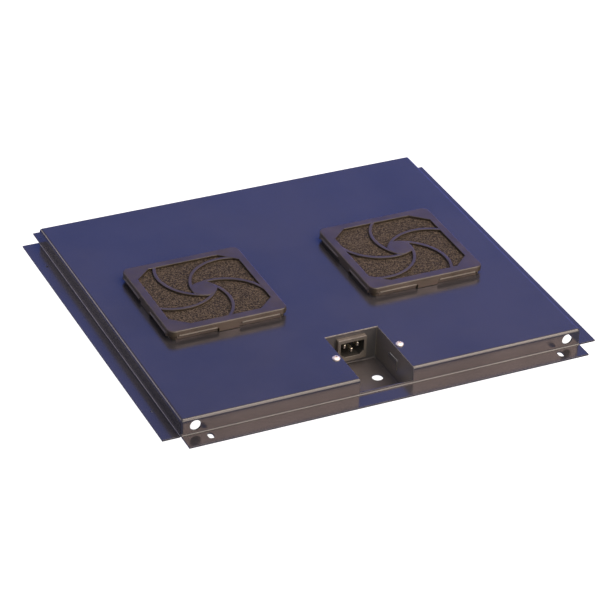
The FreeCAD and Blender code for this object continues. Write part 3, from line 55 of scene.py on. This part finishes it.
# ------------------------------------------------------------------ materials
class Paint:
    """A node material on one Principled shader, in the object's own coordinates (metres)."""

    def __init__(self, name, colour, rough, metallic=0.0, **fixed):
        self.mat = bpy.data.materials.new(name)
        self.mat.use_nodes = True
        self.tree = self.mat.node_tree
        self.tree.nodes.clear()
        self.out = self.tree.nodes.new("ShaderNodeOutputMaterial")
        self.shader = self.tree.nodes.new("ShaderNodeBsdfPrincipled")
        self.tree.links.new(self.shader.outputs["BSDF"], self.out.inputs["Surface"])
        self.where = self.tree.nodes.new("ShaderNodeTexCoord").outputs["Object"]
        self.normal = None
        s = self.shader.inputs
        s["Base Color"].default_value = (*colour, 1.0)
        s["Roughness"].default_value = rough
        s["Metallic"].default_value = metallic
        for key, value in fixed.items():
            s[key.replace("_", " ")].default_value = value

    def link(self, a, b):
        self.tree.links.new(a, b)

    def put(self, socket, value):
        if isinstance(value, bpy.types.NodeSocket):
            self.link(value, socket)
        elif value is not None:
            socket.default_value = value

    def stretch(self, scale, turn=(0, 0, 0), shift=(0, 0, 0), vector=None):
        n = self.tree.nodes.new("ShaderNodeMapping")
        self.link(vector or self.where, n.inputs["Vector"])
        n.inputs["Scale"].default_value = scale
        n.inputs["Rotation"].default_value = turn
        n.inputs["Location"].default_value = shift
        return n.outputs["Vector"]

    def noise(self, scale, detail=3.0, rough=0.55, vector=None, distort=0.0):
        n = self.tree.nodes.new("ShaderNodeTexNoise")
        self.link(vector or self.where, n.inputs["Vector"])
        n.inputs["Scale"].default_value = scale
        n.inputs["Detail"].default_value = detail
        n.inputs["Roughness"].default_value = rough
        n.inputs["Distortion"].default_value = distort
        return n.outputs["Fac"]

    def cells(self, scale, feature="F1", vector=None, random=1.0, smooth=0.3):
        n = self.tree.nodes.new("ShaderNodeTexVoronoi")
        n.feature = feature
        self.link(vector or self.where, n.inputs["Vector"])
        n.inputs["Scale"].default_value = scale
        n.inputs["Randomness"].default_value = random
        if feature == "SMOOTH_F1":
            n.inputs["Smoothness"].default_value = smooth
        return n.outputs["Distance"]

    def span(self, value, a, b, to_a=0.0, to_b=1.0):
        n = self.tree.nodes.new("ShaderNodeMapRange")
        n.interpolation_type = "SMOOTHSTEP"
        self.link(value, n.inputs["Value"])
        n.inputs["From Min"].default_value = a
        n.inputs["From Max"].default_value = b
        n.inputs["To Min"].default_value = to_a
        n.inputs["To Max"].default_value = to_b
        return n.outputs["Result"]

    def maths(self, op, a, b=None, clamp=False):
        n = self.tree.nodes.new("ShaderNodeMath")
        n.operation = op
        n.use_clamp = clamp
        self.put(n.inputs[0], a)
        self.put(n.inputs[1], b)
        return n.outputs[0]

    def axis(self, name, vector=None):
        n = self.tree.nodes.new("ShaderNodeSeparateXYZ")
        self.link(vector or self.where, n.inputs[0])
        return n.outputs[name]

    def blend(self, fac, a, b):
        n = self.tree.nodes.new("ShaderNodeMix")
        n.data_type = "RGBA"
        self.put(n.inputs["Factor"], fac)
        for socket, value in ((n.inputs[6], a), (n.inputs[7], b)):
            self.put(socket, (*value, 1.0) if isinstance(value, tuple) else value)
        return n.outputs[2]

    def colour(self, value):
        self.link(value, self.shader.inputs["Base Color"])
        return self

    def rough(self, value):
        self.link(value, self.shader.inputs["Roughness"])
        return self

    def bump(self, height, strength, distance):
        n = self.tree.nodes.new("ShaderNodeBump")
        n.inputs["Strength"].default_value = strength
        n.inputs["Distance"].default_value = distance
        self.link(height, n.inputs["Height"])
        if self.normal is not None:
            self.link(self.normal, n.inputs["Normal"])
        self.normal = n.outputs["Normal"]
        self.link(self.normal, self.shader.inputs["Normal"])
        return self

    def edges(self, radius, low=0.02, high=0.25):
        """1 on edges and corners, 0 on flat faces, from the rounded normal."""
        b = self.tree.nodes.new("ShaderNodeBevel")
        b.samples = 6
        b.inputs["Radius"].default_value = radius
        if self.normal is None:
            self.normal = b.outputs["Normal"]
            self.link(self.normal, self.shader.inputs["Normal"])
        g = self.tree.nodes.new("ShaderNodeNewGeometry")
        d = self.tree.nodes.new("ShaderNodeVectorMath")
        d.operation = "DOT_PRODUCT"
        self.link(b.outputs["Normal"], d.inputs[0])
        self.link(g.outputs["Normal"], d.inputs[1])
        off = self.maths("SUBTRACT", 1.0, d.outputs["Value"])
        return self.span(off, low, high)


def cut_edge_painted_highlight(p, base):
    """Thin, pale band on the sheared edge of the recess opening in the panel: a painted highlight where the rounded
    edge catches the light.
    """
    highlight_band = p.maths("MULTIPLY", p.span(p.maths("ABSOLUTE", p.axis("X")), 0.0283, 0.0281), p.span(p.axis("Y"), -0.1062, -0.1064))
    highlight_band = p.maths("MULTIPLY", highlight_band, p.span(p.axis("Z"), 0.0310, 0.0316))
    patchy = p.span(p.noise(260.0, 3.0, 0.6), 0.30, 0.60, 0.55, 1.0)
    # pale band on the cut edge: painted highlight
    return p.blend(p.maths("MULTIPLY", highlight_band, patchy), base, (0.185, 0.165, 0.15))


def recess_dust_and_painted_light(p, base):
    """Dust in the recess, and painted warm light: lighter and warm on the side walls, grey on the floor."""
    side = p.maths("MULTIPLY", p.span(p.maths("ABSOLUTE", p.axis("X")), 0.0272, 0.0278), p.span(p.axis("Z"), 0.0100, 0.0125))
    floor = p.span(p.axis("Z"), 0.0115, 0.0100)
    patchy = p.span(p.noise(90.0, 4.0, 0.6), 0.30, 0.70, 0.75, 1.0)
    # side walls: dust with painted warm light
    base = p.blend(p.maths("MULTIPLY", side, patchy), base, (0.112, 0.097, 0.080))
    return p.blend(p.maths("MULTIPLY", floor, patchy), base, (0.055, 0.0485, 0.0485))


def painted_steel(name="painted_steel", low=(0.022, 0.0205, 0.0215), high=(0.029, 0.0265, 0.0275), rough=(0.17, 0.23), local=cut_edge_painted_highlight):
    p = Paint(name, low, rough[0], Specular_IOR_Level=0.6)
    cloud = p.noise(9.0, 4.0, 0.6)
    fine = p.noise(160.0, 3.0, 0.6)
    base = p.blend(p.span(cloud, 0.3, 0.7), low, high)
    # specks of dust and pale pits in the coat
    speck = p.span(p.cells(300.0), 0.10, 0.05)
    some = p.span(p.noise(60.0, 2.0), 0.60, 0.64)
    base = p.blend(p.maths("MULTIPLY", p.maths("MULTIPLY", speck, some), 0.25), base, (0.10, 0.10, 0.10))
    # thin rubbed paint on edges
    worn = p.maths("MULTIPLY", p.edges(0.0006, 0.03, 0.3), p.span(p.noise(75.0, 4.0, 0.7), 0.46, 0.72))
    base = p.blend(p.maths("MULTIPLY", worn, 0.5), base, (0.10, 0.095, 0.095))
    p.colour(local(p, base))
    smear = p.noise(14.0, 5.0, 0.6)
    r = p.maths("ADD", p.span(smear, 0.3, 0.75, *rough), p.maths("MULTIPLY", fine, 0.05))
    p.rough(p.maths("ADD", r, p.maths("MULTIPLY", worn, 0.12)))
    p.bump(p.noise(420.0, 2.0, 0.5), 0.07, 0.00010)
    p.bump(p.noise(70.0, 1.0, 0.4), 0.02, 0.0005)
    return p.mat


def bright_plate(name="plated_steel", tint=(0.90, 0.84, 0.78), rough=(0.50, 0.62)):
    p = Paint(name, tint, rough[0], 1.0)
    dark = tuple(c * 0.72 for c in tint)
    p.colour(p.blend(p.span(p.noise(300.0, 4.0, 0.6), 0.35, 0.7), dark, tint))
    p.rough(p.span(p.noise(700.0, 3.0), 0.3, 0.7, *rough))
    p.bump(p.noise(2600.0, 2.0), 0.12, 0.00005)
    return p.mat


def moulded(name, low, high, rough=(0.32, 0.46), grain=2400.0, depth=0.00005, edge=(0.12, 0.11, 0.11), soft=0.0005):
    p = Paint(name, low, rough[0], Specular_IOR_Level=0.5)
    base = p.blend(p.span(p.noise(38.0, 4.0, 0.6), 0.35, 0.7), low, high)
    worn = p.maths("MULTIPLY", p.edges(soft, 0.05, 0.4), p.span(p.noise(120.0, 3.0), 0.45, 0.7))
    dust = p.maths("MULTIPLY", p.span(p.cells(520.0), 0.12, 0.05), p.span(p.noise(80.0, 2.0), 0.56, 0.64))
    base = p.blend(p.maths("MULTIPLY", worn, 0.35), base, edge)
    base = p.blend(p.maths("MULTIPLY", dust, 0.3), base, (0.2, 0.19, 0.17))
    p.colour(base)
    p.rough(p.span(p.noise(55.0, 4.0, 0.6), 0.3, 0.7, *rough))
    p.bump(p.cells(grain, "SMOOTH_F1"), 0.18, depth)
    p.bump(p.noise(120.0, 2.0), 0.05, 0.0003)
    return p.mat


def inlet_moulding():
    """Moulded inlet: warm dark bezel; the socket cavity is painted near-black as painted shade."""
    p = Paint("inlet_plastic", (0.05, 0.045, 0.04), 0.4, Specular_IOR_Level=0.5)
    base = p.blend(p.span(p.noise(60.0, 4.0, 0.6), 0.35, 0.7), (0.078, 0.067, 0.056), (0.112, 0.096, 0.080))
    worn = p.maths("MULTIPLY", p.edges(0.0006, 0.04, 0.35), p.span(p.noise(160.0, 3.0), 0.40, 0.62))
    base = p.blend(p.maths("MULTIPLY", worn, 0.5), base, (0.17, 0.15, 0.13))
    # socket cavity behind the bezel face darkened: painted shade in the recess
    x = p.span(p.maths("ABSOLUTE", p.axis("X")), 0.0129, 0.0124)
    z = p.span(p.maths("ABSOLUTE", p.maths("SUBTRACT", p.axis("Z"), 0.0285)), 0.0087, 0.0082)
    y = p.maths("MULTIPLY", p.span(p.axis("Y"), -0.1107, -0.1098), p.span(p.axis("Y"), -0.0935, -0.0940))
    inside = p.maths("MULTIPLY", p.maths("MULTIPLY", x, z), y)
    base = p.blend(p.maths("MULTIPLY", inside, 0.94), base, (0.003, 0.0025, 0.002))
    p.colour(base)
    p.rough(p.maths("ADD", p.span(p.noise(90.0, 4.0, 0.6), 0.3, 0.7, 0.34, 0.48), p.maths("MULTIPLY", inside, 0.35)))
    p.bump(p.cells(2200.0, "SMOOTH_F1"), 0.18, 0.00005)
    return p.mat


def filter_foam():
    p = Paint("filter_foam", (0.10, 0.07, 0.05), 0.95, Specular_IOR_Level=0.15)
    strand = p.cells(820.0, "DISTANCE_TO_EDGE")
    open_cell = p.span(strand, 0.02, 0.30)
    grit = p.noise(640.0, 4.0, 0.8)
    wide = p.noise(30.0, 3.0)
    light = p.blend(p.span(grit, 0.42, 0.60), (0.0095, 0.0076, 0.0060), (0.118, 0.089, 0.063))
    light = p.blend(p.span(wide, 0.35, 0.7, 0.0, 0.15), light, (0.032, 0.026, 0.022))
    # cell hollows darkened toward black: painted shade in the pores
    p.colour(p.blend(p.maths("MULTIPLY", open_cell, 0.6), light, (0.004, 0.0033, 0.003)))
    p.rough(p.span(grit, 0.3, 0.7, 0.85, 1.0))
    p.bump(p.maths("SUBTRACT", 1.0, open_cell), 0.6, 0.0008)
    p.bump(grit, 0.5, 0.0008)
    return p.mat


def turned(name, tint, rough, scale=900.0):
    """Machined or drawn metal with fine lines round Z."""
    p = Paint(name, tint, rough, 1.0)
    lines = p.noise(scale, 3.0, 0.6, vector=p.stretch((0.12, 0.12, 1.0)))
    p.colour(p.blend(p.span(lines, 0.3, 0.7), tuple(c * 0.75 for c in tint), tint))
    p.rough(p.span(lines, 0.3, 0.7, rough * 0.75, rough * 1.35))
    p.bump(lines, 0.1, 0.00005)
    return p.mat


def laminated():
    """Stacked electrical steel: thin level sheets seen on the sides."""
    p = Paint("core_steel", (0.34, 0.34, 0.36), 0.45, 1.0)
    z = p.axis("Z")
    wave = p.maths("SINE", p.maths("MULTIPLY", z, 2 * math.pi / 0.0005))
    shade = p.span(wave, -1.0, 1.0)
    blot = p.noise(220.0, 4.0, 0.65)
    base = p.blend(shade, (0.20, 0.20, 0.21), (0.38, 0.38, 0.40))
    p.colour(p.blend(p.span(blot, 0.52, 0.72, 0.0, 0.5), base, (0.20, 0.15, 0.11)))
    p.rough(p.span(blot, 0.3, 0.7, 0.35, 0.6))
    p.bump(shade, 0.3, 0.0001)
    return p.mat


def enamelled_copper():
    """Turns of round enamelled wire, side by side."""
    p = Paint("winding_copper", (0.55, 0.22, 0.09), 0.25, 0.9)
    u = p.maths("MULTIPLY", p.maths("ADD", p.axis("X"), p.axis("Y")), 2 * math.pi / 0.00042)
    wave = p.maths("SINE", p.maths("ADD", u, p.maths("MULTIPLY", p.noise(120.0), 3.0)))
    shade = p.span(wave, -1.0, 1.0)
    # colour dark in the grooves between the turns and bright on their crowns: painted shade and painted highlight
    p.colour(p.blend(shade, (0.22, 0.07, 0.03), (0.62, 0.27, 0.11)))
    p.rough(p.span(p.noise(300.0), 0.3, 0.7, 0.18, 0.34))
    p.bump(shade, 0.5, 0.00012)
    return p.mat


def casting():
    p = Paint("fan_casting", (0.02, 0.02, 0.022), 0.42, 0.0, Specular_IOR_Level=0.55)
    sand = p.noise(900.0, 4.0, 0.65)
    base = p.blend(p.span(p.noise(45.0, 4.0), 0.35, 0.7), (0.016, 0.016, 0.018), (0.032, 0.032, 0.034))
    worn = p.maths("MULTIPLY", p.edges(0.0006, 0.05, 0.4), p.span(p.noise(90.0, 4.0), 0.45, 0.68))
    p.colour(p.blend(p.maths("MULTIPLY", worn, 0.55), base, (0.30, 0.30, 0.31)))
    p.rough(p.span(sand, 0.3, 0.7, 0.34, 0.55))
    p.bump(sand, 0.22, 0.00015)
    return p.mat


def wire_chrome():
    p = Paint("guard_wire", (0.80, 0.79, 0.77), 0.14, 1.0)
    cloud = p.noise(90.0, 4.0, 0.6)
    p.colour(p.blend(p.span(cloud, 0.4, 0.75), (0.80, 0.79, 0.77), (0.60, 0.58, 0.55)))
    p.rough(p.span(cloud, 0.35, 0.75, 0.10, 0.28))
    p.bump(p.noise(1500.0, 2.0), 0.06, 0.00004)
    return p.mat


def insulation(name, a, b=None):
    p = Paint(name, a, 0.32, Specular_IOR_Level=0.5, Coat_Weight=0.1)
    if b is None:
        b = tuple(c * 1.6 for c in a)
    p.colour(p.blend(p.span(p.noise(260.0, 3.0), 0.35, 0.7), a, b))
    p.rough(p.span(p.noise(420.0, 3.0), 0.3, 0.7, 0.25, 0.42))
    p.bump(p.noise(1400.0, 2.0), 0.1, 0.00005)
    return p.mat


def nylon():
    p = Paint("nylon", (0.62, 0.60, 0.53), 0.4, Subsurface_Weight=0.15, Specular_IOR_Level=0.45)
    p.shader.inputs["Subsurface Radius"].default_value = (0.0012, 0.001, 0.0008)
    p.colour(p.blend(p.span(p.noise(70.0, 4.0), 0.35, 0.7), (0.66, 0.64, 0.57), (0.52, 0.49, 0.41)))
    p.rough(p.span(p.noise(200.0, 3.0), 0.3, 0.7, 0.34, 0.5))
    p.bump(p.noise(1800.0, 2.0), 0.1, 0.00005)
    return p.mat


def rubber():
    p = Paint("rubber", (0.02, 0.02, 0.02), 0.7, Specular_IOR_Level=0.35)
    p.colour(p.blend(p.span(p.noise(110.0, 4.0), 0.35, 0.7), (0.014, 0.014, 0.014), (0.04, 0.038, 0.035)))
    p.rough(p.span(p.noise(320.0, 4.0), 0.3, 0.7, 0.6, 0.85))
    p.bump(p.noise(2200.0, 3.0), 0.2, 0.00006)
    return p.mat


def pin_metal():
    p = Paint("pin_metal", (0.86, 0.80, 0.66), 0.2, 1.0)
    draw = p.noise(1500.0, 3.0, 0.6, vector=p.stretch((1.0, 0.06, 1.0)))
    p.colour(p.blend(p.span(draw, 0.35, 0.7), (0.88, 0.83, 0.70), (0.66, 0.58, 0.44)))
    p.rough(p.span(draw, 0.3, 0.7, 0.34, 0.50))
    p.bump(draw, 0.12, 0.00004)
    return p.mat


LOOKS = {
    "painted_steel": painted_steel(),
    "plated_steel": bright_plate(),
    "inlet_plastic": inlet_moulding(),
    "pin_metal": pin_metal(),
    "nylon": nylon(),
    "lead_insulation": insulation("lead_insulation", (0.02, 0.02, 0.024)),
    "earth_insulation": insulation("earth_insulation", (0.10, 0.32, 0.06), (0.75, 0.62, 0.06)),
    "terminal_metal": bright_plate("terminal_metal", (0.74, 0.73, 0.70), (0.30, 0.46)),
    "rubber": rubber(),
    "guard_plastic": moulded("guard_plastic", (0.031, 0.0225, 0.0130), (0.043, 0.0315, 0.0190), (0.28, 0.40), edge=(0.13, 0.11, 0.09), soft=0.0009),
    "filter_foam": filter_foam(),
    "fan_casting": casting(),
    "bearing_steel": turned("bearing_steel", (0.66, 0.66, 0.67), 0.2),
    "core_steel": laminated(),
    "winding_copper": enamelled_copper(),
    "impeller_plastic": moulded("impeller_plastic", (0.018, 0.018, 0.020), (0.028, 0.028, 0.030), (0.34, 0.5), 1600.0),
    "guard_wire": wire_chrome(),
}
slot_of = {s["node"]: s["material_slot"] for s in frame["record"]["subparts"]}
for name, obj in NODES.items():
    obj.data.materials.clear()
    obj.data.materials.append(LOOKS[slot_of[name]])
# The bracket gets a lighter, rougher copy of the tray's paint: painted light in the recess.
bracket_paint_painted_light = painted_steel("bracket_paint_painted_light", (0.045, 0.042, 0.042), (0.056, 0.052, 0.051), (0.30, 0.38), recess_dust_and_painted_light)
NODES["inlet_bracket"].data.materials[0] = bracket_paint_painted_light


# ------------------------------------------------------------------ the filter foam
def new_object(name, bm, look, smooth=True):
    mesh = bpy.data.meshes.new(name)
    bm.normal_update()
    bm.to_mesh(mesh)
    bm.free()
    for f in mesh.polygons:
        f.use_smooth = smooth
    mesh.materials.append(LOOKS[look])
    o = bpy.data.objects.new(name, mesh)
    scene.collection.objects.link(o)
    return o


def foam_pad(side, sx):
    """An octagonal sheet of open-cell foam, cut by hand, standing up slightly between the ribs."""
    lo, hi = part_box("filter_foam_" + side)
    cx, cy = (lo.x + hi.x) / 2, (lo.y + hi.y) / 2
    half = (hi.x - lo.x) / 2
    step = 0.0008
    n = int(round(2 * half / step))
    cut = 0.0172
    bm = bmesh.new()
    grid = {}
    mid = (lo.z + hi.z) / 2

    def inside(u, v):
        return abs(u) <= half and abs(v) <= half and abs(u) + abs(v) <= 2 * half - cut

    for i in range(n + 1):
        for j in range(n + 1):
            u, v = -half + 2 * half * i / n, -half + 2 * half * j / n
            if not inside(u, v):
                continue
            border = min(half - abs(u), half - abs(v), (2 * half - cut - abs(u) - abs(v)) / math.sqrt(2))
            round_off = 0.0009 * max(0.0, 1 - border / 0.0012) ** 2
            p = Vector((u, v, 0)) * 1000.0
            grain = 0.00022 * (noise.noise(p * 0.9 + Vector((7.1 * sx, 3.0, 0.0))) + 0.6 * noise.noise(p * 2.1))
            top = hi.z - 0.00036 - round_off + max(-0.0003, min(0.0003, grain))
            low = lo.z + 0.00030 + round_off + max(-0.00025, min(0.00025, 0.7 * grain))
            x, y = cx + u * (1 - 0.0012), cy + v * (1 - 0.0012)
            grid[i, j] = (bm.verts.new((x, y, top)), bm.verts.new((x, y, low)))
    for i in range(n):
        for j in range(n):
            k = [(i, j), (i + 1, j), (i + 1, j + 1), (i, j + 1)]
            have = [q for q in k if q in grid]
            if len(have) >= 3:
                bm.faces.new([grid[q][0] for q in have])
                bm.faces.new([grid[q][1] for q in reversed(have)])
    rim = [e for e in bm.edges if e.is_boundary]
    pair = {}
    for a, b in grid.values():
        pair[a] = b
    for e in rim:
        a, b = e.verts
        if a in pair and b in pair:
            bm.faces.new((b, a, pair[a], pair[b]))
    bmesh.ops.recalc_face_normals(bm, faces=bm.faces)
    o = new_object("foam_pad_" + side, bm, "filter_foam")
    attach(o, "foam_" + side)
    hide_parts("filter_foam_" + side)
    return o


for side, sx in SIDES:
    foam_pad(side, sx)

# ------------------------------------------------------------------ soft shading of the folded and moulded parts
for name, obj in NODES.items():
    if obj.hide_render:
        continue
    for f in obj.data.polygons:
        f.use_smooth = True
    obj.data.set_sharp_from_angle(angle=math.radians(32.0))
    flat = obj.modifiers.new("flat_faces", "WEIGHTED_NORMAL")   # broad faces stay flat beside their bends
    flat.mode = "FACE_AREA"
    flat.weight = 100
    flat.keep_sharp = True

# ------------------------------------------------------------------ floor, light and camera
stage_mat = Paint("studio_floor", (0.16, 0.16, 0.16), 0.8)
stage_mat.colour(stage_mat.blend(stage_mat.noise(3.0, 2.0), (0.15, 0.15, 0.15), (0.17, 0.17, 0.17)))
stage_mat.shader.inputs["Emission Color"].default_value = (1.0, 0.99, 0.98, 1.0)
stage_mat.shader.inputs["Emission Strength"].default_value = 1.08
bm = bmesh.new()
bmesh.ops.create_grid(bm, x_segments=4, y_segments=4, size=9.0)
mesh = bpy.data.meshes.new("studio_floor")
bm.to_mesh(mesh)
bm.free()
mesh.materials.append(stage_mat.mat)
floor = bpy.data.objects.new("studio_floor", mesh)
floor.location = (0, 0, -0.0002)
scene.collection.objects.link(floor)
floor.visible_glossy = False             # the studio around the tray is dark in its gloss


def softbox(name, direction, distance, size, colour, power, aim=(0, 0, 0.03)):
    light = bpy.data.lights.new(name, "AREA")
    light.shape = "RECTANGLE"
    light.size, light.size_y = size
    light.energy = power
    light.color = colour
    o = bpy.data.objects.new(name, light)
    d = Vector(direction).normalized()
    o.location = Vector(aim) + d * distance
    o.rotation_euler = d.to_track_quat("Z", "Y").to_euler()
    scene.collection.objects.link(o)
    return o


softbox("key_front", (0.22, -1.0, 0.75), 2.6, (5.0, 2.4), (1.0, 0.95, 0.71), 92.0)
key_right = softbox("key_right", (0.38, -0.757, 0.532), 2.8, (1.6, 1.0), (1.0, 0.68, 0.62), 130.0)
key_right.data.use_nodes = True          # full where wall and flange mirror each other, dimmer on one broad face
lamp = key_right.data.node_tree
bounce = lamp.nodes.new("ShaderNodeLightPath")
ramp = lamp.nodes.new("ShaderNodeMapRange")
ramp.inputs["From Min"].default_value = 2.0
ramp.inputs["From Max"].default_value = 3.0
ramp.inputs["To Min"].default_value = 0.15
ramp.inputs["To Max"].default_value = 1.0
lamp.links.new(bounce.outputs["Ray Depth"], ramp.inputs["Value"])
lamp.links.new(ramp.outputs["Result"], next(n for n in lamp.nodes if n.type == "EMISSION").inputs["Strength"])
softbox("line_front", (0.38, -0.15, 0.9), 2.6, (1.3, 2.2), (1.0, 0.83, 0.70), 66.0)
softbox("line_left", (-0.53, 0.757, 0.38), 2.8, (0.9, 0.9), (1.0, 0.86, 0.79), 9.0)
softbox("line_right", (0.63, 0.757, 0.163), 3.0, (1.2, 0.5), (0.125, 0.167, 1.0), 6.0)
softbox("overhead", (0.0, 0.0, 1.0), 2.4, (3.6, 3.6), (1.0, 0.86, 0.50), 27.0)
softbox("back_high", (0.38, 0.757, 0.532), 3.0, (3.2, 1.0), (0.04, 0.18, 1.0), 7.9)

world = bpy.data.worlds.new("studio")
scene.world = world
world.use_nodes = True
world.node_tree.nodes["Background"].inputs["Color"].default_value = (0.267, 0.333, 1.0, 1.0)
world.node_tree.nodes["Background"].inputs["Strength"].default_value = 0.45

cam_data = bpy.data.cameras.new("camera")
cam = bpy.data.objects.new("camera", cam_data)
scene.collection.objects.link(cam)
scene.camera = cam
cam_data.sensor_width = 36.0
cam_data.sensor_fit = "HORIZONTAL"
cam_data.lens = 2664.42 / 600.0 * 36.0
cam_data.clip_start = 0.1
cam_data.clip_end = 60.0
right = Vector((0.9043288773699867, -0.42482130227455045, 0.04142635258497507))
down = Vector((-0.1946430304640293, -0.4968148994362187, -0.8457476257075502))
ahead = Vector((0.3798728369422043, 0.7567706500862297, -0.5319725659482324))
cam.matrix_world = Matrix.Translation((-1.00973183, -2.00542041, 1.42951857)) @ Matrix(
    (right, -down, -ahead)).transposed().to_4x4()

scene.view_settings.view_transform = "Standard"
scene.view_settings.look = "None"
